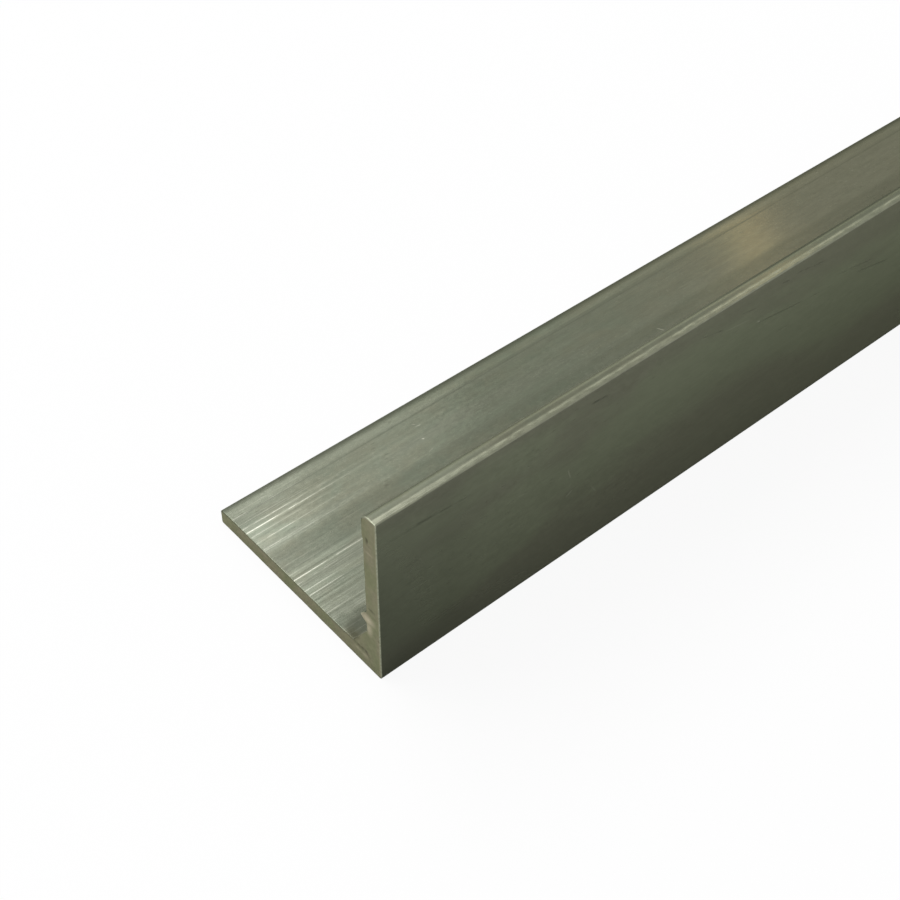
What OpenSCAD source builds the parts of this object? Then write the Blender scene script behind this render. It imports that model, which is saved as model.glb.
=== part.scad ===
/* Aluminium angle with unequal legs, one straight extruded length.
   Lengths in millimetres.
   The bar runs along X and its near sawn end is at -X.
   The flange lies on Z = 0 and reaches towards +Y.
   The upright leg stands on the -Y side with its outer face turned to -Y.
   Origin: centre of the footprint, on the underside of the flange. */

/* [Length] */

// Length of the bar between its two sawn ends
bar_length = 3000; // [500:50:6000]

/* [Flange] */

// Width of the flange, from the outer face of the leg to the toe
flange_width = 30; // [20:1:80]
// Thickness of the flange
flange_thickness = 2.3; // [1.5:0.1:4]
// Width of the strip along the toe where the flange falls away
toe_strip_width = 2.1; // [1.5:0.1:4]
// How much thinner that strip is at the toe itself
toe_strip_fall = 0.2; // [0.05:0.05:0.4]

/* [Leg] */

// Height of the leg, from the underside of the flange to the top
leg_height = 25; // [20:1:80]
// Thickness of the leg between the root and its bead
leg_thickness = 2.15; // [1.5:0.05:4]
// Height of the thicker strip along the top of the leg
bead_height = 3.2; // [2.2:0.1:5]
// Depth of that strip in front of the inner face of the leg
bead_rise = 0.15; // [0.05:0.05:0.8]
// Distance over which the strip falls back to the plain thickness
bead_ramp = 0.6; // [0.3:0.1:2]

/* [Corners] */

// Rounding of the inner edge of the leg top
leg_top_radius = 1.1; // [0.3:0.1:2]
// Fillet in the corner between the flange and the leg
root_radius = 3; // [0.5:0.1:6]
// Rounding of the heel
heel_radius = 0.3; // [0.1:0.05:1]
// Rounding of both edges of the flange toe
toe_radius = 0.25; // [0.1:0.05:0.5]
// Rounding of the outer edge of the leg top
leg_edge_radius = 0.2; // [0.1:0.05:0.5]

/* [Hidden] */

$fn = 96;
// How far the cutting shapes reach past the edges that they round
overlap = 0.5;
// Thickness of the leg at its top
leg_top_depth = leg_thickness + bead_rise;
// Narrowest flat that is left between the two roundings of the leg top
least_top_flat = 0.05;
leg_top_round = min(leg_top_radius, leg_top_depth - leg_edge_radius - least_top_flat);
mill_finish = [0.42, 0.43, 0.37];

// Corner at the origin, filling the quadrant +X +Y, less its rounding
module corner_waste(radius) {
    difference() {
        translate([-overlap, -overlap])
            square([radius + overlap, radius + overlap]);
        translate([radius, radius])
            circle(r = radius);
    }
}

// Both limbs with sharp corners, and a square of material where the fillet goes
module sharp_outline() {
    toe_thickness = flange_thickness - toe_strip_fall;
    bead_start = leg_height - bead_height;
    fillet_x = leg_thickness + root_radius;
    fillet_y = flange_thickness + root_radius;
    polygon([
        [0, 0],
        [flange_width, 0],
        [flange_width, toe_thickness],
        [flange_width - toe_strip_width, flange_thickness],
        [fillet_x, flange_thickness],
        [fillet_x, fillet_y],
        [leg_thickness, fillet_y],
        [leg_thickness, bead_start - bead_ramp],
        [leg_top_depth, bead_start],
        [leg_top_depth, leg_height],
        [0, leg_height]
    ]);
}

// Rounding of the upper edge of the toe, where the strip meets the toe at a slant
module upper_toe_waste() {
    slope = atan2(toe_strip_fall, toe_strip_width);
    inset = toe_radius * (1 - sin(slope)) / cos(slope);
    centre_x = flange_width - toe_radius;
    centre_y = flange_thickness - toe_strip_fall - inset;
    difference() {
        translate([centre_x + toe_radius * sin(slope), centre_y])
            square([toe_radius + overlap, toe_radius + overlap]);
        translate([centre_x, centre_y])
            circle(r = toe_radius);
    }
}

// Section of the bar: X is the width of the flange, Y the height of the leg
module section() {
    difference() {
        sharp_outline();
        corner_waste(heel_radius);
        translate([leg_thickness + root_radius, flange_thickness + root_radius])
            circle(r = root_radius);
        translate([flange_width, 0])
            rotate(90)
                corner_waste(toe_radius);
        upper_toe_waste();
        translate([leg_top_depth, leg_height])
            rotate(180)
                corner_waste(leg_top_round);
        translate([0, leg_height])
            rotate(270)
                corner_waste(leg_edge_radius);
    }
}

// The extruded length
module waterstop_angle() {
    color(mill_finish)
        translate([-bar_length / 2, -flange_width / 2, 0])
            rotate([90, 0, 90])
                linear_extrude(height = bar_length)
                    section();
}

waterstop_angle();
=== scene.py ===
import math
import random

import bpy
from mathutils import Matrix, Vector, noise


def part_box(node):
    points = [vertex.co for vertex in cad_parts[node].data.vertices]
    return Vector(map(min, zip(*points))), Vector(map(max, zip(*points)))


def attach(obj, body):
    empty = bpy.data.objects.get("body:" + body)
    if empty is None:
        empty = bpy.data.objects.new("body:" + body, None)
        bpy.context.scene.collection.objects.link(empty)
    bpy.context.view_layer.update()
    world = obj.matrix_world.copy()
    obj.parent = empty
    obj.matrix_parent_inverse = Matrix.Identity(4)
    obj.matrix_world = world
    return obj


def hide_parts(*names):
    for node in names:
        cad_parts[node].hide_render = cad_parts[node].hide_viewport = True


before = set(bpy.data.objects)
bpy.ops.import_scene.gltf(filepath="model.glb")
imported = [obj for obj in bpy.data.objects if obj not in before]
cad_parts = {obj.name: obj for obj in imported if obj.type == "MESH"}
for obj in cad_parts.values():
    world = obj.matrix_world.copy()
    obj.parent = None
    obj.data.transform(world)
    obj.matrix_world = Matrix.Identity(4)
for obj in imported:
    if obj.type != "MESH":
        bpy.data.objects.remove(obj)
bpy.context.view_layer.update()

MM = 0.001
NODE = "waterstop_angle"
PIECE = "mill_finish_angle"
low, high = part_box(NODE)
NEAR_HEEL = Vector(low)

# Sizes of the part in mm, the same as in the part's source
LENGTH = (high.x - low.x) / MM
FLANGE_WIDTH = (high.y - low.y) / MM
LEG_HEIGHT = (high.z - low.z) / MM
FLANGE_THICKNESS = 2.3
TOE_STRIP_WIDTH = 2.1
TOE_STRIP_FALL = 0.2
LEG_THICKNESS = 2.15
BEAD_HEIGHT = 3.2
BEAD_RISE = 0.15
BEAD_RAMP = 0.6
LEG_TOP_RADIUS = 1.1
ROOT_RADIUS = 3.0
HEEL_RADIUS = 0.3
TOE_RADIUS = 0.25
LEG_EDGE_RADIUS = 0.2
# Where the fillet of the inside corner ends on the flange and on the leg
ROOT_CENTRE = (LEG_THICKNESS + ROOT_RADIUS, FLANGE_THICKNESS + ROOT_RADIUS)

# Camera of the photo: its place from the near end of the heel in mm, and its turns in degrees
CAMERA_FROM_HEEL = Vector((-57.61, -76.75, 133.08))
CAMERA_PITCH = 45.52
CAMERA_HEADING = 41.20
CAMERA_ROLL = 0.63
LENS = 60.02
SENSOR_WIDTH = 36
CLIP_NEAR = 0.005
CLIP_FAR = 100

# Mesh: spacing of the points round the section in mm, steps on arcs and across the ends, and the angle in
# degrees from which an edge is sharp
ACROSS_STEP = 0.1
ARC_STEPS = 6
ROOT_STEPS = 40
CAP_STEPS = 14
SHARP_ANGLE = 50
# Distances from each end in mm at which the section is repeated, then the number of even steps between
END_STATIONS = (0, 0.012, 0.03, 0.06, 0.1, 0.15, 0.2, 0.26, 0.34, 0.5, 0.8, 1.2, 1.7, 2.3, 3.0, 4, 6, 9,
                12, 16, 20, 26, 32, 40, 48, 58, 68, 80, 95, 110)
MIDDLE_STEPS = 20

# Relief of the drawn surface in mm: of single points, and of waves with their waves per mm and seeds
POINT_RELIEF = 0.0012
SECTION_WAVES = ((0.004, 3.5, 2), (0.012, 0.9, 1))
# How much the relief swells along the bar, its waves per mm, and how fast they shift from point to point
SWELL = 0.3
SWELL_WAVES = 0.012
SWELL_SHIFT = 0.05
# Where the surface is this near the box of the part in mm: the share of the relief, and how deep it is set
BOX_BAND = 0.4
BOX_RELIEF_SHARE = 0.15
BOX_INSET = 0.002
# Share of the relief of the flange top that is left far from an end, and the length in mm over which it goes
FAR_RELIEF = 0.3
RELIEF_FADE = 14

# Points this near the height of the flange top in mm are on it where they lie past the fillet
FLANGE_TOP_BAND = TOE_STRIP_FALL + 0.1
# Facets that the die left on the flange top: place across the section in mm, half width, and how far they
# tip towards the toe in degrees. Then how many times as wide and how many times as steep they are built
FACETS = (
    (7.9, 0.25, -0.5), (8.7, 0.3, 0.6), (9.6, 0.3, 0.8), (10.3, 0.25, -0.7), (11.2, 0.35, -0.9),
    (12, 0.2, 0.5), (12.8, 0.2, 1.0), (13.15, 0.2, -0.8), (13.6, 0.2, 1.4), (14.6, 0.3, -0.8),
    (15.15, 0.2, -1.2), (15.6, 0.2, 2.4), (16.2, 0.25, -0.9), (17.2, 0.4, -0.8), (18, 0.25, 1.2),
    (19, 0.35, -0.7), (19.8, 0.25, 0.6), (20.8, 0.35, -1.0), (21.5, 0.3, 0.7), (22.8, 0.25, 1.8),
    (23.45, 0.3, -1.2), (24, 0.2, 0.8), (24.8, 0.22, 3.0), (25.2, 0.2, -1.6), (25.6, 0.2, 1.8),
    (26.05, 0.25, -1.5), (27.4, 0.25, -1.8), (27.8, 0.2, 1.2), (28.25, 0.25, 1.6),
)
FACET_WIDENING = 0.8
FACET_STEEPENING = 1.225
# Over which length in mm the marks of an end are lost, and the painted highlight of a facet for each degree
# of its tip
NEAR_FADE = 9
FACET_HIGHLIGHT = 0.07
# Seed of the relief of single points
RELIEF_SEED = 41

# Leg top, in mm: the heights from which it and its rim at an end start, the place of its crest across the
# section, and how much it sags 1 mm behind the crest
LEG_TOP = LEG_HEIGHT - 0.5
LEG_TOP_RIM = LEG_HEIGHT - 0.6
CREST = 0.7
SAG = 0.04

# The saw left the ends this far short of their tallest burrs, in mm
END_SETBACK = 0.1
# Broken edge of the sawn ends: its mean size in mm, and waves with their waves per mm and seeds
BREAK_SIZE = 0.09
BREAK_WAVES = ((0.04, 0.6, 11), (0.02, 2.3, 13))

# The burr of the near end in mm: the line from the leg to the flange up to which its web fills the corner,
# how thick it is smeared, the share of the web, and the height, half height and throw of the curl at its top
BURR_ON_LEG = (LEG_THICKNESS, 6.4)
BURR_ON_FLANGE = (4.8, FLANGE_THICKNESS)
BURR_SMEAR = 0.12
BURR_WEB = 0.95
CURL_HEIGHT = 8.8
CURL_HALF_HEIGHT = 1.1
CURL_THROW = 0.85
# Along the bar in mm: from where the burr, its curl and its sawn look start to where they are full
BURR_FADE = (1.15, 0.1)
CURL_FADE = (0.45, 0.2)
SAWN_FADE = (1.7, 0.5)
# How far the smeared corner reaches along the flange and up the leg in mm
CORNER_REACH = (2.0, 2.2)

# Marks on the near sawn end: place across and up in mm, half width, half height, depth or height, and
# darkness or brightness: painted shade in the pits and painted highlight on the lumps
NOTCH = (0.15, 6.5, 0.22, 0.25, 0.08, 0.8)
PITS = (
    (1.5, 21.5, 0.26, 0.7, 0.12, 1.0),
    (1.25, 10.7, 0.85, 0.30, 0.05, 0.6),
    (4.50, 2.40, 0.60, 0.30, 0.05, 0.6),
    (3.85, 2.35, 0.60, 0.36, 0.07, 0.8),
    (3.20, 2.40, 0.60, 0.40, 0.08, 0.8),
    (2.60, 2.45, 0.55, 0.45, 0.08, 0.8),
    (2.15, 2.10, 0.40, 0.42, 0.06, 0.7),
    (1.2, 20.9, 0.8, 0.16, 0.03, 0.3),
    NOTCH,
)
LUMPS = (
    (1.9, 8.7, 1.8, 1.05, 0.10, 1.0),
    (1.75, 7.35, 0.9, 1.9, 0.07, 0.8),
    (3.9, 1.75, 1.1, 0.3, 0.04, 0.45),
    (2.8, 1.65, 1.0, 0.3, 0.04, 0.45),
    (1.2, 19.8, 1.0, 0.2, 0.03, 0.35),
)
# Waves of a sawn end: height in mm, waves per mm across and up, and seed
FACE_WAVES = ((0.012, 0.35, 0.5, 21), (0.006, 1.9, -2.3, 23))
# How far along the bar in mm the marks of a sawn end reach round its edge, and over which length its relief
# and its setback are lost
EDGE_REACH = 0.3
FACE_REACH = 0.5
SETBACK_REACH = 4
# Painted highlight round a sawn end, along the bar in mm: its middle and half width on the outer face, and
# from where to where the painted shade of that face is lost to it. On the other faces: its strength and waves
# per mm
OUTER_RIM = (0.06, 0.1)
OUTER_RIM_CLEARED = (0.192, 0.072)
RIM_HIGHLIGHT = 0.12
RIM_WAVES = 0.8

# Painted highlight of the leg top: from where to where across the section in mm it grows to full, and how
# bright
OUTER_HALF = (0.9, 0.55, 0.25)
OUTER_HALF_NEAR_END = (0.8, 0.4, 0.3)
# Its bright line: middle and half width in mm, and how bright
CREST_LINE = (0.6, 0.25, 0.38)
# How much brighter that line is at an end, and how much it varies there with its waves per mm, each with the
# length in mm over which it is lost
CREST_GLINT = 0.9
CREST_GLINT_FADE = 6
CREST_CHANGE = 0.3
CREST_WAVES = 0.7
CREST_CHANGE_FADE = 30

# Painted shade over the inner edge of the leg top: how far down it reaches in mm, from where to where across
# the section it grows to full and how dark, and from where to where along the bar it grows darker
INNER_EDGE_DEPTH = 1.5
INNER_EDGE_START = (CREST, 1.0, 0.1)
INNER_EDGE = (1.2, 1.95)
INNER_EDGE_DARKNESS = (0.45, 0.55)
INNER_EDGE_GROWS = (35, 65)
# Painted shade on the heel: its size in mm and how dark
HEEL_SIZE = 0.35
HEEL_DARKNESS = 0.6
# Painted shade in a line where the strip along the toe starts: middle and half width in mm, and how dark
STRIP_START = (27.45, 0.2, 0.36)
# Painted shade in bands of the flange top: from where to where across in mm each grows to full, and how dark.
# The middle band has one such range at each side, and the one near the toe is lost over a length in mm
MIDDLE_BAND = (16.4, 17.6, 0.28)
MIDDLE_BAND_END = (21.3, 20.1)
NEAR_TOE = (24.5, 26.5, 0.3)
NEAR_TOE_FADE = 14
TOE_EDGE = (28.4, 29.9, 0.85)
# Painted shade on the flange top's rim at an end: its length in mm, how dark, how much that varies, and its
# waves per mm
FLANGE_RIM = 0.22
FLANGE_RIM_DARKNESS = 0.35
FLANGE_RIM_CHANGE = 0.2
FLANGE_RIM_WAVES = 1.3

# Painted shade of the outer face: from where to where up the face in mm it grows to full, and how dark. Then
# the lengths in mm along the bar over which the low part is lost and the heel's own part grows
DARK_AT_END = (37.5, 7.5, 0.85)
DARK_LOW_AT_END = (11, 0)
DARK_HEEL = (10, 0, 0.2)
DARK_LOW_FADE = 18
DARK_HEEL_FADE = 20

# Marks on the outer face: from and to, each along the bar and up in mm, half width and strength
SCUFFS = (
    (0.6, 21.55, 9.0, 21.2, 0.3, 0.75), (4.6, 21.5, 7.9, 21.2, 0.2, 1.0),
    (7.4, 21.2, 13.0, 20.75, 0.2, 0.85), (29.2, 23.1, 32.6, 22.7, 0.22, 1.2),
    (46.2, 22.6, 51.0, 21.5, 0.14, 0.7), (53.0, 22.4, 56.5, 21.7, 0.12, 0.5),
    (60.2, 23.3, 61.8, 23.0, 0.15, 0.9), (62.4, 23.5, 69.0, 22.4, 0.16, 0.9),
    (56.2, 19.2, 66.0, 17.8, 0.15, 0.9), (66.0, 17.8, 71.3, 17.3, 0.13, 0.6),
    (71.0, 18.8, 79.6, 17.3, 0.15, 0.7), (75.4, 16.9, 83.2, 15.4, 0.17, 0.9),
    (60.4, 15.5, 64.0, 15.2, 0.12, 0.4), (4.7, 16.5, 6.1, 15.3, 0.16, 0.5),
    (4.2, 10.5, 7.9, 7.7, 0.14, 0.4),
)
NICKS = (
    (26.7, 14.9, 27.3, 13.0, 0.13, 0.35), (26.7, 10.3, 27.8, 11.0, 0.14, 0.4),
    (30.7, 9.6, 31.8, 7.8, 0.10, 0.2), (56.8, 19.3, 57.4, 19.2, 0.14, 0.6),
    (50.5, 21.2, 55.5, 20.5, 0.10, 0.25), (19.0, 15.7, 20.4, 15.5, 0.08, 0.25),
)

# Small bright marks on the flange top: from and to, each along the bar and across in mm, half width and
# strength
SPECKS = (
    (62.7, 19.4, 63.3, 18.2, 0.09, 0.6), (25.55, 23.65, 25.9, 23.4, 0.13, 0.6),
    (26.2, 26.4, 26.6, 26.0, 0.12, 0.25), (26.0, 25.8, 27.2, 25.6, 0.10, 0.25),
    (24.7, 21.3, 25.7, 21.5, 0.12, 0.15),
)

# Painted highlights along the die lines on the flange top near its end: place across the section in mm,
# strength and length in mm. Then the length in mm over which the finest ones are lost
GLINT_LINES = (
    (24.8, 1.0, 18), (25.55, 0.75, 16), (27.6, 0.5, 14), (23.9, 0.3, 12), (22.8, 0.55, 12), (21.5, 0.35, 8),
    (18, 0.3, 9), (15.6, 0.85, 20), (14.9, 0.5, 10), (13.6, 0.45, 8), (12.75, 0.5, 10), (9.6, 0.3, 7),
)
FINE_GLINT_LENGTH = 17

# Painted shade in the inside corner: its middle inwards from the near end, across and up in mm, how far it
# reaches each way, how dark it is, how full at its middle, how fast it falls off, and how ragged its edge is
# with the waves per mm of that across and along the bar
SHADE_MIDDLE = (2.7, 5.1, 3.5)
SHADE_REACH = (4.8, 4.3, 4.0)
SHADE_DARKNESS = 0.75
SHADE_CORE = 1.25
SHADE_FALL = 1.1
SHADE_RAGGED = 0.3
SHADE_WAVES = (0.9, 0.8)

# Colours of the drawn metal and of the marks on it
DRAWN = (0.148, 0.165, 0.119)
DRAWN_CLOUD = (0.155, 0.162, 0.115)
DRAWN_BAND = (0.157, 0.169, 0.124)
BROWNED = (0.156, 0.152, 0.107)
OUTER_GREY = (0.151, 0.156, 0.117)
# Greener at mid height of the outer face, and painted lighter there as a painted reflection
OUTER_GREEN_LIT = (0.170, 0.188, 0.132)
SMEARED = (0.196, 0.194, 0.128)
# Painted highlight
HIGHLIGHT_COLOUR = (0.41, 0.425, 0.31)
# Painted glints along the die lines, also the colour of the small bright specks
LINE_GLINT_COLOUR = (0.48, 0.48, 0.39)
NICKED = (0.34, 0.35, 0.28)
# Painted dark lines between those glints
LINE_SHADE_COLOUR = (0.075, 0.082, 0.06)
SCUFFED = (0.045, 0.05, 0.034)
# Painted shade
SHADE_COLOUR = (0.047, 0.052, 0.036)
DRAWN_TINT = (0.62, 0.63, 0.55)

# Colours of the sawn ends and of the marks on them
SAWN = (0.196, 0.206, 0.124)
SAWN_BLOTCH = (0.232, 0.220, 0.150)
# Painted highlight on the burrs, lumps and rims of the sawn ends
SAWN_HIGHLIGHT = (0.50, 0.45, 0.34)
# Painted shade in the pits
SAWN_SHADE = (0.045, 0.045, 0.03)
SAWN_TINT = (0.7, 0.7, 0.6)

# Floor and world: brightness, and the shares of plain white that the camera and mirrors see in the floor
FLOOR_HALF_SIZE = 12.0
FLOOR_GAP = 0.02 * MM
FLOOR_COLOUR = 0.94
FLOOR_WHITE_SEEN = 0.92
FLOOR_WHITE_MIRRORED = 0.15
WORLD_LIGHT = 0.5

# Soft lamps: name, cosine of the direction with +X, height in degrees above +Y seen along the bar, width
# along the bar and height in metres, how bright it looks, and colour. Then their distance from the near end
LAMPS = (
    ("key", -0.25, 58, (2.8, 2.6), 3.4, (1, 1, 1)),
    ("glow", 0.2, 46, (1.5, 1.3), 3.3, (0.91, 0.89, 1.0)),
    ("halo", 0.2, 46, (2.6, 1.4), 1.1, (0.93, 0.91, 1.0)),
    ("back", 0.4, 20, (4.0, 2.0), 0.75, (1, 1, 1)),
    ("patch", 0.67, 52, (0.09, 3.4), 1.0, (1.0, 0.72, 0.40)),
)
LAMP_DISTANCE = 4.0


def arc(centre, radius, start, end, steps):
    """Points of an arc between two angles in degrees, both ends included."""
    points = []
    for i in range(steps + 1):
        angle = math.radians(start + (end - start) * i / steps)
        points.append((centre[0] + radius * math.cos(angle), centre[1] + radius * math.sin(angle)))
    return points


def between(a, b, share):
    return tuple(p + (q - p) * share for p, q in zip(a, b))


def line(start, end, steps):
    """Points of a straight stretch, without its last one."""
    return [between(start, end, i / steps) for i in range(steps)]


def lines(corners):
    """Evenly spaced points along straight stretches, without the last corner."""
    points = []
    for a, b in zip(corners, corners[1:]):
        points += line(a, b, max(2, round(math.dist(a, b) / ACROSS_STEP)))
    return points


def section():
    """The outer and the inner side of the section, point for point, from the toe to the top of the leg."""
    w, h = FLANGE_WIDTH, LEG_HEIGHT
    slope = math.atan2(TOE_STRIP_FALL, TOE_STRIP_WIDTH)
    inset = TOE_RADIUS * (1 - math.sin(slope)) / math.cos(slope)
    toe_centre = (w - TOE_RADIUS, FLANGE_THICKNESS - TOE_STRIP_FALL - inset)
    depth = LEG_THICKNESS + BEAD_RISE
    bead_start = h - BEAD_HEIGHT
    root_x, root_y = ROOT_CENTRE

    toe = arc(toe_centre, TOE_RADIUS, 0, 90 - math.degrees(slope), ARC_STEPS)
    flange = lines([toe.pop(), (w - TOE_STRIP_WIDTH, FLANGE_THICKNESS), (root_x, FLANGE_THICKNESS)])
    root = arc(ROOT_CENTRE, ROOT_RADIUS, -90, -180, ROOT_STEPS)[:-1]
    leg = lines([(LEG_THICKNESS, root_y), (LEG_THICKNESS, bead_start - BEAD_RAMP), (depth, bead_start),
                 (depth, h - LEG_TOP_RADIUS)])
    top = arc((depth - LEG_TOP_RADIUS, h - LEG_TOP_RADIUS), LEG_TOP_RADIUS, 0, 90, 2 * ARC_STEPS)
    inner = toe + flange + root + leg + top

    heel_steps = ROOT_STEPS // 4
    under_steps = ROOT_STEPS // 2 - heel_steps // 2
    outer = arc((w - TOE_RADIUS, TOE_RADIUS), TOE_RADIUS, 0, -90, ARC_STEPS)[:-1]
    outer += line((w - TOE_RADIUS, 0), (root_x, 0), len(flange))
    outer += line((root_x, 0), (HEEL_RADIUS, 0), under_steps)
    outer += arc((HEEL_RADIUS, HEEL_RADIUS), HEEL_RADIUS, -90, -180, heel_steps)[:-1]
    outer += line((0, HEEL_RADIUS), (0, root_y), ROOT_STEPS - under_steps - heel_steps)
    outer += line((0, root_y), (0, h - LEG_EDGE_RADIUS), len(leg) + ARC_STEPS)
    outer += arc((LEG_EDGE_RADIUS, h - LEG_EDGE_RADIUS), LEG_EDGE_RADIUS, 180, 90, ARC_STEPS)
    return outer, inner


def stations():
    """Distances along the bar at which the section is repeated, closer together near its ends."""
    reach = END_STATIONS[-1]
    span = LENGTH - 2 * reach
    middle = [reach + span * i / MIDDLE_STEPS for i in range(1, MIDDLE_STEPS)]
    return list(END_STATIONS) + middle + [LENGTH - d for d in reversed(END_STATIONS)]


def smooth(value):
    value = min(1.0, max(0.0, value))
    return value * value * (3 - 2 * value)


def step(value, start, end, height=1.0):
    """0 at the start of a range and the height at its end, smooth between them. It may run either way."""
    return height * smooth((value - start) / (end - start))


def bump(value, centre, width, height=1.0):
    """A smooth hump that ends a width away from its centre."""
    return height * smooth(1 - abs(value - centre) / width)


def fade(inside, length):
    """1 at an end of the bar, and lost over a length in mm."""
    return math.exp(-inside / length)


def wander(x, seed):
    """Smooth noise between -1 and 1."""
    return noise.noise(Vector((x, seed * 7.31, seed * 3.17)))


class Outline:
    """The closed outline of the section: out along the outer side, back along the inner side."""

    def __init__(self):
        outer, inner = section()
        self.rungs = len(outer)
        top = [between(outer[-1], inner[-1], i / CAP_STEPS) for i in range(1, CAP_STEPS)]
        toe = [between(inner[0], outer[0], i / CAP_STEPS) for i in range(1, CAP_STEPS)]
        self.points = outer + top + inner[::-1] + toe
        self.count = len(self.points)
        self.normals = []
        self.along = [0.0]
        for i in range(self.count):
            a = self.points[i - 1]
            b = self.points[(i + 1) % self.count]
            length = math.dist(a, b)
            self.normals.append(((a[1] - b[1]) / length, (b[0] - a[0]) / length))
            if i:
                self.along.append(self.along[-1] + math.dist(self.points[i], a))


def on_flange_top(p):
    return abs(p[1] - FLANGE_THICKNESS) < FLANGE_TOP_BAND and p[0] > ROOT_CENTRE[0]


def on_box(p):
    """True where the surface lies on the box that holds the part, so that relief only goes inwards."""
    return min(p[0], p[1], LEG_HEIGHT - p[1], FLANGE_WIDTH - p[0]) < BOX_BAND


def low_inside(p, n):
    """True where the surface faces up or away from the leg, below half the height of the leg."""
    return max(n) >= 0.05 and p[1] <= LEG_HEIGHT / 2


def facet_height(across):
    """Height in mm that the facets between here and the toe add up to."""
    height = 0.0
    for place, half, tip in FACETS:
        half *= FACET_WIDENING
        passed = min(1.0, max(0.0, (across - place + half) / (2 * half)))
        height += FACET_STEEPENING * math.tan(math.radians(tip)) * half * (0.5 - passed)
    return height


def relief(outline, rng):
    """Height in mm of the drawn surface at each point of the outline, the same all along the bar."""
    heights = []
    for p, n, s in zip(outline.points, outline.normals, outline.along):
        height = POINT_RELIEF * rng.uniform(-1, 1)
        for size, waves, seed in SECTION_WAVES:
            height += size * wander(s * waves, seed)
        if on_flange_top(p):
            height += facet_height(p[0])
        elif on_box(p):
            height = min(0.0, BOX_RELIEF_SHARE * height - BOX_INSET)
        if p[1] > LEG_TOP:
            height -= SAG * max(0.0, p[0] - CREST) ** 2 * max(0.0, n[1])
        heights.append(height)
    return heights


def broken_edge(s, inside, end):
    """How much in mm the saw broke away at a place round the section, at a distance in from an end."""
    size = BREAK_SIZE
    for height, waves, seed in BREAK_WAVES:
        size += height * wander(s * waves, seed + end)
    if inside >= size:
        return 0.0
    return size - math.sqrt(max(0.0, size ** 2 - (size - inside) ** 2))


def corner_share(p, n):
    """1 in the inside corner of the section, falling to 0 up the leg and along the flange."""
    if not low_inside(p, n):
        return 0.0
    if p[0] >= ROOT_CENTRE[0]:
        return step(p[0], ROOT_CENTRE[0] + CORNER_REACH[0], ROOT_CENTRE[0])
    return step(p[1], ROOT_CENTRE[1] + CORNER_REACH[1], ROOT_CENTRE[1])


def burr(p, n, inside):
    """How far in mm the smeared metal of the near end stands into the inside corner."""
    share = corner_share(p, n)
    web = 0.0
    if share > 0:
        length = math.dist(BURR_ON_LEG, BURR_ON_FLANGE)
        side = ((BURR_ON_LEG[1] - BURR_ON_FLANGE[1]) / length, (BURR_ON_FLANGE[0] - BURR_ON_LEG[0]) / length)
        gap = side[0] * (BURR_ON_LEG[0] - p[0]) + side[1] * (BURR_ON_LEG[1] - p[1])
        web = max(0.0, gap / max(0.3, side[0] * n[0] + side[1] * n[1]))
    smear = (BURR_SMEAR * share + BURR_WEB * web) * step(inside, *BURR_FADE)
    curl = 0.0
    if n[0] > 0.9:
        curl = CURL_THROW * bump(p[1], CURL_HEIGHT, CURL_HALF_HEIGHT) * step(inside, *CURL_FADE)
    return smear + curl


def spot(p, across, up, half_width, half_height):
    """Strength of a mark at a point of the end face."""
    return smooth(1 - math.hypot((p[0] - across) / half_width, (p[1] - up) / half_height))


def end_face(p, end):
    """Depth in mm below the setback plane, and painted shade of the pits and painted highlight of the lumps,
    at a point of an end face.
    """
    depth = 0.0
    for size, across, up, seed in FACE_WAVES:
        depth += size * wander(p[0] * across + p[1] * up, seed + end)
    dark = bright = 0.0
    if end == 0:
        for *mark, fall, darkness in PITS:
            share = spot(p, *mark)
            depth += fall * share
            dark = max(dark, darkness * share)
        for *mark, rise, brightness in LUMPS:
            share = spot(p, *mark)
            depth -= rise * share
            bright = max(bright, brightness * share)
    return depth, dark, bright


def crest_and_facet_highlight(p, n, inside):
    """Painted highlight on the leg top, and on the die facets that tip towards the toe."""
    near = fade(inside, NEAR_FADE)
    if p[1] > LEG_TOP and n[1] > 0.3:
        change = CREST_CHANGE * wander(inside * CREST_WAVES, seed=23) * fade(inside, CREST_CHANGE_FADE)
        glint = 1 + CREST_GLINT * fade(inside, CREST_GLINT_FADE) + change
        outer_half = step(p[0], *OUTER_HALF) + near * step(p[0], *OUTER_HALF_NEAR_END)
        return outer_half + glint * bump(p[0], *CREST_LINE)
    if on_flange_top(p):
        raised = sum(bump(p[0], place, FACET_WIDENING * half, tip) for place, half, tip in FACETS if tip > 0)
        return FACET_HIGHLIGHT * near * raised
    return 0.0


def painted_shade_lines(p, inside):
    """Painted shade of the lines along the bar, on the leg top's inner edge, at the heel and on the flange.
    """
    if p[1] > LEG_HEIGHT - INNER_EDGE_DEPTH and p[0] > CREST:
        least, more = INNER_EDGE_DARKNESS
        darkness = least + step(inside, *INNER_EDGE_GROWS, more)
        return step(p[0], *INNER_EDGE_START) + step(p[0], *INNER_EDGE, darkness)
    if max(p) < HEEL_SIZE:
        return HEEL_DARKNESS
    if not on_flange_top(p):
        return 0.0
    rim_darkness = FLANGE_RIM_DARKNESS + FLANGE_RIM_CHANGE * wander(p[0] * FLANGE_RIM_WAVES, seed=37)
    return max(
        bump(p[0], *STRIP_START),
        step(p[0], *MIDDLE_BAND) * step(p[0], *MIDDLE_BAND_END),
        step(p[0], *NEAR_TOE) * fade(inside, NEAR_TOE_FADE),
        step(inside, FLANGE_RIM, 0, rim_darkness),
        step(p[0], *TOE_EDGE),
    )


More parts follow.
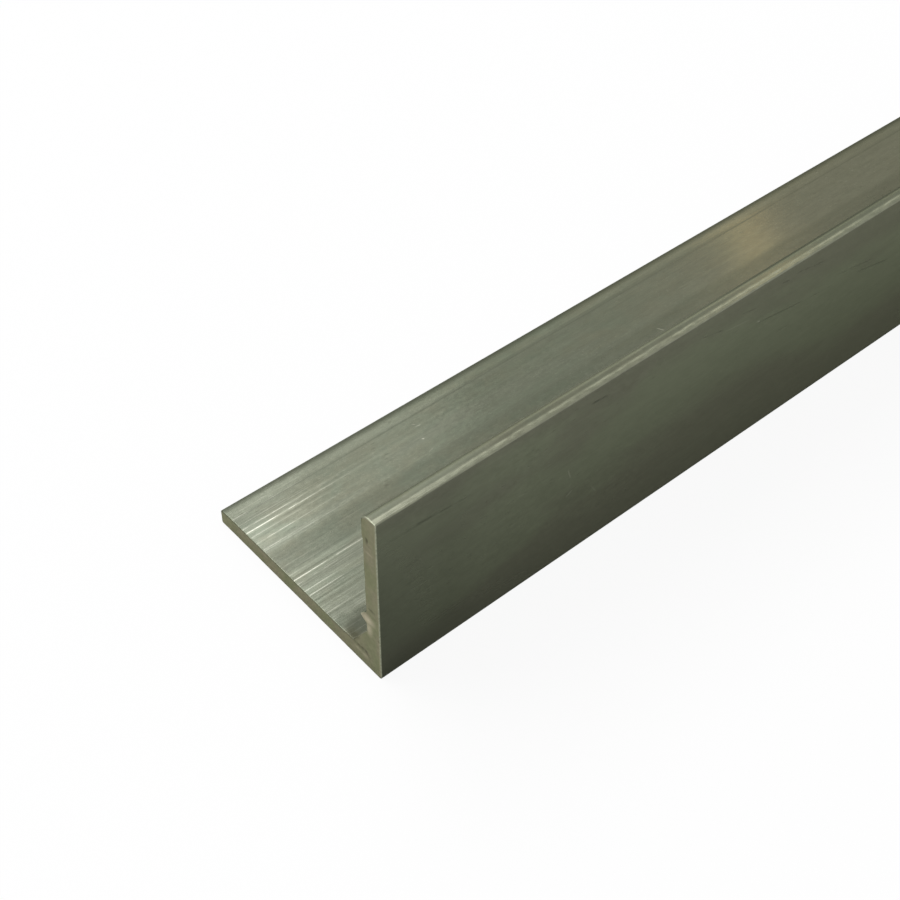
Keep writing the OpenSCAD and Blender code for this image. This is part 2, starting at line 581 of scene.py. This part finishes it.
def corner_shade(p, n, inside):
    """Painted shade in the inside corner, just behind the near end."""
    if not low_inside(p, n):
        return 0.0
    lengthwise = (inside - SHADE_MIDDLE[0]) / SHADE_REACH[0]
    across = (p[0] - SHADE_MIDDLE[1]) / SHADE_REACH[1]
    up = max(0.0, p[1] - SHADE_MIDDLE[2]) / SHADE_REACH[2]
    away = math.sqrt(across ** 2 + lengthwise ** 2 + up ** 2)
    wave, wave_along = SHADE_WAVES
    ragged = SHADE_RAGGED * noise.noise(Vector((p[0] * wave, p[1] * wave + inside * wave_along, 3.3)))
    return SHADE_DARKNESS * smooth(SHADE_CORE - SHADE_FALL * away + ragged)


def outer_face_shade(p, inside):
    """Painted shade of the outer face, which grows towards the near end and the heel."""
    near = step(p[1], *DARK_AT_END) * fade(inside, NEAR_FADE)
    low_near = step(p[1], *DARK_LOW_AT_END) * fade(inside, DARK_LOW_FADE)
    return max(near, low_near) + step(p[1], *DARK_HEEL) * (1 - fade(inside, DARK_HEEL_FADE))


def drawn_point(outline, i, x, height):
    """Place, painted highlight, painted shade and sawn look of a point of the outline, at a distance along
    the bar in mm.
    """
    p, n, s = outline.points[i], outline.normals[i], outline.along[i]
    end = 0 if x < LENGTH / 2 else 1
    inside = x if end == 0 else LENGTH - x
    outer = n[0] < -0.5
    shade_patch = lip = notch = sawn = 0.0
    if end == 0:
        # Painted shade: on the outer face, and in the inside corner
        shade_patch = outer_face_shade(p, inside) if outer else corner_shade(p, n, inside)
        lip = burr(p, n, inside)
        notch = spot(p, *NOTCH[:4])
        sawn = corner_share(p, n) * step(inside, *SAWN_FADE)

    height *= (1 + SWELL * wander(x * SWELL_WAVES + i * SWELL_SHIFT, seed=31)) * (1 - shade_patch)
    if on_flange_top(p):
        height *= FAR_RELIEF + (1 - FAR_RELIEF) * fade(inside, RELIEF_FADE)
    out = height - broken_edge(s, inside, end) + lip
    face_depth, face_dark, face_bright = end_face(p, end)
    setback = (END_SETBACK + face_depth * step(inside, FACE_REACH, 0)) * step(inside, SETBACK_REACH, 0)
    along = min(max(x + setback * (1 if end == 0 else -1), 0.0), LENGTH)
    place = NEAR_HEEL + Vector((along, p[0] + n[0] * out, p[1] + n[1] * out)) * MM

    # Painted highlight along the edges round a sawn end, full on the rim of the leg top
    edge = step(inside, EDGE_REACH, 0)
    rim = RIM_HIGHLIGHT * smooth(wander(s * RIM_WAVES, seed=17)) * edge
    if outer:
        rim = bump(inside, *OUTER_RIM) * (1 - notch)
        shade_patch *= 1 - step(inside, *OUTER_RIM_CLEARED)
    elif p[1] > LEG_TOP_RIM and n[1] > 0.5:
        rim = edge
    painted_highlight = max(rim, crest_and_facet_highlight(p, n, inside), face_bright * edge)
    dark = max(shade_patch, painted_shade_lines(p, inside), face_dark * edge)
    return place, painted_highlight, dark, sawn


class Skin:
    """The points of the surface, and how much painted highlight, painted shade and sawn look each has."""

    def __init__(self):
        self.places = []
        self.looks = {"painted_highlight": [], "dark": [], "sawn": []}

    def add(self, place, painted_highlight, dark, sawn):
        self.places.append(place)
        for values, value in zip(self.looks.values(), (painted_highlight, dark, sawn)):
            values.append(value)
        return len(self.places) - 1


def side_faces(count, repeats):
    """The faces between one section and the next, all along the bar."""
    faces = []
    for k in range(repeats - 1):
        for i in range(count):
            j = (i + 1) % count
            faces.append((k * count + i, (k + 1) * count + i, (k + 1) * count + j, k * count + j))
    return faces


def cap_point(skin, a, b, share, end):
    """Adds a point to an end face, on the line between two points of its edge."""
    place = skin.places[a].lerp(skin.places[b], share)
    local = (place - NEAR_HEEL) / MM
    depth, dark, bright = end_face((local.y, local.z), end)
    setback = max(0.0, END_SETBACK + depth) * MM
    place.x = low.x + setback if end == 0 else high.x - setback
    return skin.add(place, bright, dark, 1.0)


def cap_faces(outline, skin, first, end):
    """The faces of an end: rungs across the wall between the outer and the inner side of the section."""
    count, rungs = outline.count, outline.rungs
    grid = []
    for i in range(rungs):
        last = first + 2 * rungs + CAP_STEPS - 2 - i
        if i == 0:
            middle = [first + count - j for j in range(1, CAP_STEPS)]
        elif i == rungs - 1:
            middle = [first + i + j for j in range(1, CAP_STEPS)]
        else:
            middle = [cap_point(skin, first + i, last, j / CAP_STEPS, end) for j in range(1, CAP_STEPS)]
        grid.append([first + i, *middle, last])
    faces = []
    for row, following in zip(grid, grid[1:]):
        for j in range(CAP_STEPS):
            quad = (row[j], following[j], following[j + 1], row[j + 1])
            faces.append(quad[::-1] if end else quad)
    return faces


def add_grain_map(mesh, outline):
    """A map across the drawn lines and along them, which gives the gloss its direction."""
    layer = mesh.uv_layers.new(name="grain")
    values = []
    for polygon in mesh.polygons:
        index = [mesh.loops[j].vertex_index for j in polygon.loop_indices]
        places = [mesh.vertices[v].co for v in index]
        if polygon.material_index == 0:
            turn = [v % outline.count for v in index]
            across = [outline.along[t] for t in turn]
            if max(turn) - min(turn) > 1:
                # The faces that close the outline would otherwise run back over the whole map
                across = [0.0 if t else ACROSS_STEP for t in turn]
            for a, place in zip(across, places):
                values += [a * MM, place.x]
        else:
            for place in places:
                values += [place.y, place.z]
    layer.data.foreach_set("uv", values)


def build_angle():
    outline = Outline()
    heights = relief(outline, random.Random(RELIEF_SEED))
    skin = Skin()
    distances = stations()
    for x in distances:
        for i in range(outline.count):
            skin.add(*drawn_point(outline, i, x, heights[i]))
    drawn = side_faces(outline.count, len(distances))
    far_ring = (len(distances) - 1) * outline.count
    ends = cap_faces(outline, skin, 0, 0) + cap_faces(outline, skin, far_ring, 1)

    mesh = bpy.data.meshes.new(PIECE)
    mesh.from_pydata(skin.places, [], drawn + ends)
    mesh.polygons.foreach_set("material_index", [0] * len(drawn) + [1] * len(ends))
    mesh.polygons.foreach_set("use_smooth", [True] * len(drawn + ends))
    for name, values in skin.looks.items():
        mesh.attributes.new(name, "FLOAT", "POINT").data.foreach_set("value", values)
    add_grain_map(mesh, outline)
    mesh.update()
    mesh.set_sharp_from_angle(angle=math.radians(SHARP_ANGLE))
    angle = bpy.data.objects.new(PIECE, mesh)
    bpy.context.scene.collection.objects.link(angle)
    return angle


class Nodes:
    """Short calls for building a node tree."""

    def __init__(self, name):
        self.material = bpy.data.materials.new(name)
        self.material.use_nodes = True
        self.tree = self.material.node_tree
        self.shader = self.tree.nodes["Principled BSDF"]

    def new(self, kind, **settings):
        node = self.tree.nodes.new("ShaderNode" + kind)
        for name, value in settings.items():
            setattr(node, name, value)
        return node

    def put(self, socket, value):
        if isinstance(value, bpy.types.NodeSocket):
            self.tree.links.new(value, socket)
        elif isinstance(value, tuple) and len(value) == 3 and socket.type == "RGBA":
            socket.default_value = (*value, 1)
        else:
            socket.default_value = value

    def shade(self, **values):
        """Sets sockets of the shader; an underscore in a name stands for a space."""
        for name, value in values.items():
            self.put(self.shader.inputs[name.replace("_", " ")], value)

    def math(self, operation, a, b=0.0, clamp=False):
        node = self.new("Math", operation=operation, use_clamp=clamp)
        self.put(node.inputs[0], a)
        self.put(node.inputs[1], b)
        return node.outputs[0]

    def times(self, a, b, clamp=False):
        return self.math("MULTIPLY", a, b, clamp)

    def plus(self, a, b):
        return self.math("ADD", a, b)

    def most(self, a, b):
        return self.math("MAXIMUM", a, b)

    def ramp(self, value, start, end, low_value=0.0, high_value=1.0):
        """Takes a value from one range to another and holds it there."""
        node = self.new("MapRange", interpolation_type="SMOOTHSTEP")
        for socket, number in zip(node.inputs[:5], (value, start, end, low_value, high_value)):
            self.put(socket, number)
        return node.outputs[0]

    def span(self, value, origin, start, end, low_value=0.0, high_value=1.0):
        """A ramp of a coordinate between two distances in mm from an origin."""
        return self.ramp(value, origin + start * MM, origin + end * MM, low_value, high_value)

    def spread(self, value, low_value, high_value):
        """A ramp over the middle of the range that noise has."""
        return self.ramp(value, 0.3, 0.7, low_value, high_value)

    def mix(self, share, a, b, blend="MIX"):
        node = self.new("Mix", data_type="RGBA", blend_type=blend)
        self.put(node.inputs[0], share)
        self.put(node.inputs[6], a)
        self.put(node.inputs[7], b)
        return node.outputs[2]

    def axes(self, vector):
        node = self.new("SeparateXYZ")
        self.put(node.inputs[0], vector)
        return node.outputs

    def position(self):
        return self.new("TexCoord").outputs["Object"]

    def place(self, scale=(1, 1, 1), turn=(0, 0, 0), shift=(0, 0, 0)):
        """Object coordinates in metres, turned by angles in degrees, then scaled and shifted."""
        turned = self.new("Mapping", vector_type="POINT")
        turned.inputs["Rotation"].default_value = [math.radians(a) for a in turn]
        self.put(turned.inputs["Vector"], self.position())
        stretched = self.new("Mapping", vector_type="POINT")
        stretched.inputs["Scale"].default_value = scale
        stretched.inputs["Location"].default_value = shift
        self.put(stretched.inputs["Vector"], turned.outputs[0])
        return stretched.outputs[0]

    def noise(self, vector, detail=2.0, roughness=0.5):
        node = self.new("TexNoise", noise_dimensions="3D")
        self.put(node.inputs["Vector"], vector)
        node.inputs["Scale"].default_value = 1
        node.inputs["Detail"].default_value = detail
        node.inputs["Roughness"].default_value = roughness
        return node.outputs["Fac"]

    def cells(self, vector):
        node = self.new("TexVoronoi", feature="F1")
        self.put(node.inputs["Vector"], vector)
        node.inputs["Scale"].default_value = 1
        return node.outputs["Distance"]

    def attribute(self, name):
        return self.new("Attribute", attribute_type="GEOMETRY", attribute_name=name).outputs["Fac"]

    def bump(self, height, distance, strength):
        node = self.new("Bump")
        self.put(node.inputs["Height"], height)
        node.inputs["Distance"].default_value = distance
        node.inputs["Strength"].default_value = strength
        return node.outputs[0]


def dashes(n, scale, turn, shift, size, cover):
    """Short straight marks: the middles of stretched cells, in patches."""
    marks = n.ramp(n.cells(n.place(scale, turn, shift)), 0.35 * size, size, 1.0, 0.0)
    patches = n.noise(n.place((60, 90, 90), shift=shift), detail=1)
    return n.times(marks, n.ramp(patches, cover, cover + 0.08))


def face_marks(n, marks, side):
    """Straight marks on the outer face, where side is 2 for height, or on the flange top, where it is 1."""
    total = 0.0
    for x1, s1, x2, s2, half_width, strength in marks:
        turn = math.atan2(s2 - s1, x2 - x1)
        half = math.hypot(x2 - x1, s2 - s1) / 2 * MM
        x = NEAR_HEEL.x + (x1 + x2) / 2 * MM
        s = NEAR_HEEL[side] + (s1 + s2) / 2 * MM
        shift = [-x * math.cos(turn) - s * math.sin(turn), 0, 0]
        shift[side] = x * math.sin(turn) - s * math.cos(turn)
        angles = (0, math.degrees(turn), 0) if side == 2 else (0, 0, -math.degrees(turn))
        axes = n.axes(n.place(turn=angles, shift=shift))
        over = n.math("ABSOLUTE", axes[side])
        along = n.math("ABSOLUTE", axes[0])
        mask = n.span(over, 0, 0.4 * half_width, half_width, strength, 0.0)
        total = n.most(total, n.times(mask, n.ramp(along, 0.5 * half, half, 1.0, 0.0)))
    return total


def line_glint_marks(n, x, y, z):
    """Painted glints along the die lines of the flange top that fade away from the near end, with small
    bright specks, and painted dark lines between them: the bright and the dark.
    """
    top = n.span(z, low.z, 1.4, 1.8)
    near = n.times(n.span(x, low.x, 0, FINE_GLINT_LENGTH, 1.0, 0.0), top)
    fine = n.ramp(n.noise(n.place((40, 5600, 0), shift=(3, 1, 0)), detail=1), 0.6, 0.74, 0.0, 0.5)
    dark_gaps = n.ramp(n.noise(n.place((50, 4300, 0), shift=(9, 4, 0)), detail=2), 0.56, 0.7, 0.0, 0.45)
    bright = n.times(fine, near)
    for place, strength, length in GLINT_LINES:
        off = n.math("ABSOLUTE", n.math("SUBTRACT", y, low.y + place * MM))
        mask = n.span(off, 0, 0.01, 0.09, strength, 0.0)
        bright = n.most(bright, n.times(mask, n.span(x, low.x, 0, length, 1.0, 0.0)))
    bright = n.most(bright, face_marks(n, SPECKS, 1))
    return n.times(bright, top), n.times(dark_gaps, near)


def scuff_marks(n, outer, ragged):
    """Dark marks: the long ones on the outer face, and small ones all over."""
    broken = n.times(outer, n.ramp(ragged, 0.36, 0.52, 0.3, 1.0))
    small = dashes(n, (420, 1900, 1900), (0, 0, 4), (5, 3, 9), 0.2, 0.53)
    return n.most(n.times(face_marks(n, SCUFFS, 2), broken), n.times(small, 0.5))


def nick_marks(n, z, outer):
    """Small bright marks: the placed ones on the outer face, faint ones all over and flecks on the flange."""
    faint = dashes(n, (480, 2300, 2300), (0, 6, 9), (1, 8, 4), 0.19, 0.53)
    faint = n.most(faint, dashes(n, (900, 2600, 2600), (0, -64, 0), (6, 2, 9), 0.19, 0.56))
    nicks = n.most(n.times(faint, 0.2), n.times(face_marks(n, NICKS, 2), outer))
    flecks = dashes(n, (900, 2600, 0), (0, 0, 18), (4, 7, 2), 0.22, 0.47)
    flecks = n.most(flecks, dashes(n, (1100, 2300, 0), (0, 0, -24), (9, 1, 5), 0.2, 0.5))
    on_flange = n.times(n.span(z, low.z, 2.4, 2.6, 0.16, 0.0), n.ramp(outer, 0.0, 1.0, 1.0, 0.0))
    return n.most(nicks, n.times(flecks, on_flange))


def drawn_colour(n, x, z):
    """Colour of the drawn metal, browner along the flange away from the near end and on the leg top."""
    clouds = n.noise(n.place((170, 260, 260), shift=(4, 9, 6)), detail=3, roughness=0.6)
    bands = n.noise(n.place((30, 420, 420), shift=(11, 5, 2)), detail=2)
    colour = n.mix(n.ramp(clouds, 0.35, 0.68), DRAWN, DRAWN_CLOUD)
    colour = n.mix(n.ramp(bands, 0.42, 0.66), colour, DRAWN_BAND)
    flange = n.times(n.span(x, low.x, 45, 100, 0.0, 0.75), n.span(z, low.z, 2.5, 4, 1.0, 0.0))
    leg_top = n.span(z, high.z, -0.8, -0.4, 0.0, 0.25)
    return n.mix(n.most(flange, leg_top), colour, BROWNED)


def outer_colour(n, z):
    """Colour of the outer face: green at mid height, where it is also painted lighter as a painted
    reflection, and greyer above and below.
    """
    drift = n.noise(n.place((30, 70, 70), shift=(3, 7, 2)), detail=3, roughness=0.6)
    height = n.plus(z, n.spread(drift, -5 * MM, 5 * MM))
    green = n.times(n.span(height, low.z, 4, 11), n.span(height, low.z, 17, 23, 1.0, 0.0))
    return n.mix(green, OUTER_GREY, OUTER_GREEN_LIT)


def drawn_tone(n, x, outer, streaks):
    """Lighter and darker grain of the drawn metal, rubbed in patches near the near end."""
    mottle = n.noise(n.place((420, 1500, 1500), shift=(8, 2, 5)), detail=4, roughness=0.65)
    pebbles = n.noise(n.place((1300, 2100, 2100), shift=(2, 6, 1)), detail=3, roughness=0.65)
    patches = n.noise(n.place((90, 160, 160), shift=(6, 1, 8)), detail=2)
    rubbed = n.times(n.spread(pebbles, -0.09, 0.09), n.ramp(patches, 0.35, 0.65, 0.25, 1.0))
    rubbed = n.times(rubbed, n.span(x, low.x, 30, 65, 1.0, 0.35))
    grain = n.times(n.plus(rubbed, n.spread(mottle, -0.05, 0.05)), n.ramp(outer, 0.0, 1.0, 1.0, 0.8))
    return n.times(n.spread(streaks, 0.97, 1.03), n.plus(grain, 1.0))


def mill_aluminium():
    n = Nodes("mill_aluminium")
    x, y, z = n.axes(n.position())
    outer = n.span(y, low.y, 0, 0.2, 1.0, 0.0)
    streaks = n.noise(n.place((80, 3400, 3400)), detail=3, roughness=0.6)
    ragged = n.noise(n.place((450, 1300, 1300), shift=(7, 4, 1)), detail=2)
    glints = n.noise(n.place((700, 2600, 2600)))

    # Painted highlight from the mesh, broken up into glints
    painted_highlight = n.times(n.attribute("painted_highlight"), n.ramp(glints, 0.36, 0.66, 0.65, 1.45), clamp=True)
    # Painted shade from the mesh
    dark = n.attribute("dark")
    sawn = n.attribute("sawn")
    scuffs = scuff_marks(n, outer, ragged)
    # Painted glints along the die lines and painted dark lines between them
    line_glints, line_shade = line_glint_marks(n, x, y, z)
    line_glints = n.times(line_glints, n.ramp(ragged, 0.34, 0.54, 0.2, 1.3), clamp=True)

    colour = n.mix(outer, drawn_colour(n, x, z), outer_colour(n, z))
    colour = n.mix(1.0, colour, drawn_tone(n, x, outer, streaks), "MULTIPLY")
    colour = n.mix(n.times(scuffs, 0.5), colour, SCUFFED)
    colour = n.mix(nick_marks(n, z, outer), colour, NICKED)
    colour = n.mix(sawn, colour, SMEARED)
    # Painted highlight, painted dark lines and glints along the die lines, and painted shade
    colour = n.mix(n.times(painted_highlight, 0.75), colour, HIGHLIGHT_COLOUR)
    colour = n.mix(line_shade, colour, LINE_SHADE_COLOUR)
    colour = n.mix(n.times(line_glints, 0.7), colour, LINE_GLINT_COLOUR)
    colour = n.mix(n.times(dark, 0.8), colour, SHADE_COLOUR)

    rough = n.spread(streaks, 0.15, 0.18)
    rough = n.plus(rough, n.times(n.most(painted_highlight, scuffs), 0.2))
    rough = n.plus(rough, n.times(n.most(sawn, dark), 0.25))
    across = n.new("Tangent", direction_type="UV_MAP", uv_map="grain").outputs[0]
    n.shade(Base_Color=colour, Metallic=1.0, Roughness=rough, Anisotropic=0.95, Specular_Tint=DRAWN_TINT,
            Tangent=across, Normal=n.bump(streaks, 0.02 * MM, 0.3))
    return n.material


def sawn_aluminium():
    n = Nodes("sawn_aluminium")
    blotches = n.noise(n.place((300, 330, 260), shift=(2, 4, 7)), detail=3, roughness=0.6)
    grains = n.noise(n.place((1500, 1700, 1500), shift=(5, 1, 3)), detail=2, roughness=0.6)
    saw = n.noise(n.place((1, 420, 4200), turn=(38, 0, 0)), detail=3, roughness=0.65)

    colour = n.mix(n.ramp(blotches, 0.36, 0.66), SAWN, SAWN_BLOTCH)
    colour = n.mix(1.0, colour, n.times(n.spread(grains, 0.93, 1.06), n.spread(saw, 0.93, 1.07)), "MULTIPLY")
    # Painted highlight on the burrs, lumps and rims, and painted shade in the pits
    colour = n.mix(n.times(n.attribute("painted_highlight"), 0.85), colour, SAWN_HIGHLIGHT)
    colour = n.mix(n.times(n.attribute("dark"), 0.85), colour, SAWN_SHADE)
    height = n.plus(saw, n.times(grains, 0.5))
    n.shade(Base_Color=colour, Metallic=1.0, Roughness=n.spread(saw, 0.42, 0.56), Specular_Tint=SAWN_TINT,
            Normal=n.bump(height, 0.03 * MM, 0.5))
    return n.material


def seen_share(tree, camera_share, mirror_share):
    """A share for camera rays, and another for rays that mirror or pass through."""
    path = tree.nodes.new("ShaderNodeLightPath")
    total = None
    for name, share in (("Is Camera Ray", camera_share), ("Is Glossy Ray", mirror_share),
                        ("Is Transmission Ray", mirror_share)):
        part = tree.nodes.new("ShaderNodeMath")
        part.operation = "MULTIPLY_ADD"
        tree.links.new(path.outputs[name], part.inputs[0])
        part.inputs[1].default_value = share
        part.inputs[2].default_value = 0
        if total:
            tree.links.new(total, part.inputs[2])
        total = part.outputs[0]
    return total


def lit_and_seen(tree, kind, lit, seen, camera_share, mirror_share):
    """Mixes the shader that lights the scene with the one that the camera and mirrors see."""
    output = tree.nodes.new(kind)
    mix = tree.nodes.new("ShaderNodeMixShader")
    tree.links.new(seen_share(tree, camera_share, mirror_share), mix.inputs[0])
    tree.links.new(lit.outputs[0], mix.inputs[1])
    tree.links.new(seen.outputs[0], mix.inputs[2])
    tree.links.new(mix.outputs[0], output.inputs["Surface"])


def build_floor():
    mesh = bpy.data.meshes.new("floor")
    corners = [(-1, -1), (1, -1), (1, 1), (-1, 1)]
    places = [(x * FLOOR_HALF_SIZE, y * FLOOR_HALF_SIZE, low.z - FLOOR_GAP) for x, y in corners]
    mesh.from_pydata(places, [], [(0, 1, 2, 3)])
    floor = bpy.data.objects.new("floor", mesh)
    bpy.context.scene.collection.objects.link(floor)
    material = bpy.data.materials.new("floor")
    material.use_nodes = True
    tree = material.node_tree
    tree.nodes.clear()
    diffuse = tree.nodes.new("ShaderNodeBsdfDiffuse")
    diffuse.inputs["Color"].default_value = (FLOOR_COLOUR, FLOOR_COLOUR, FLOOR_COLOUR, 1)
    white = tree.nodes.new("ShaderNodeEmission")
    white.inputs["Strength"].default_value = 1
    lit_and_seen(tree, "ShaderNodeOutputMaterial", diffuse, white, FLOOR_WHITE_SEEN, FLOOR_WHITE_MIRRORED)
    mesh.materials.append(material)


def build_world():
    world = bpy.data.worlds.new("studio")
    bpy.context.scene.world = world
    world.use_nodes = True
    tree = world.node_tree
    tree.nodes.clear()
    backgrounds = []
    for strength in (WORLD_LIGHT, 1):
        background = tree.nodes.new("ShaderNodeBackground")
        background.inputs["Color"].default_value = (1, 1, 1, 1)
        background.inputs["Strength"].default_value = strength
        backgrounds.append(background)
    lit_and_seen(tree, "ShaderNodeOutputWorld", *backgrounds, 1, 1)


def softbox(name, along, lift, size, radiance, colour):
    """A soft lamp that faces the near end of the bar."""
    side = math.sqrt(1 - along * along)
    lift = math.radians(lift)
    direction = Vector((along, side * math.cos(lift), side * math.sin(lift)))
    across = Vector((0, -math.sin(lift), math.cos(lift)))
    data = bpy.data.lights.new(name, "AREA")
    data.shape = "ELLIPSE"
    data.size, data.size_y = size
    data.color = colour
    data.energy = radiance * math.pi * size[0] * size[1]
    lamp = bpy.data.objects.new(name, data)
    turn = Matrix((across.cross(direction), across, direction)).transposed().to_4x4()
    lamp.matrix_world = Matrix.Translation(NEAR_HEEL + direction * LAMP_DISTANCE) @ turn
    bpy.context.scene.collection.objects.link(lamp)


def build_camera():
    data = bpy.data.cameras.new("camera")
    data.sensor_width = SENSOR_WIDTH
    data.lens = LENS
    data.clip_start = CLIP_NEAR
    data.clip_end = CLIP_FAR
    camera = bpy.data.objects.new("camera", data)
    bpy.context.scene.collection.objects.link(camera)
    turn = Matrix.Rotation(math.radians(-CAMERA_HEADING), 3, "Z")
    tilt = Matrix.Rotation(math.radians(90 - CAMERA_PITCH), 3, "X")
    roll = Matrix.Rotation(math.radians(CAMERA_ROLL), 3, "Z")
    place = NEAR_HEEL + CAMERA_FROM_HEEL * MM
    camera.matrix_world = Matrix.Translation(place) @ (turn @ tilt @ roll).to_4x4()
    bpy.context.scene.camera = camera


build_camera()
build_floor()
build_world()
for lamp in LAMPS:
    softbox(*lamp)
bpy.context.scene.view_settings.view_transform = "Standard"

angle = build_angle()
angle.data.materials.append(mill_aluminium())
angle.data.materials.append(sawn_aluminium())
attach(angle, "root")
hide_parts(NODE)
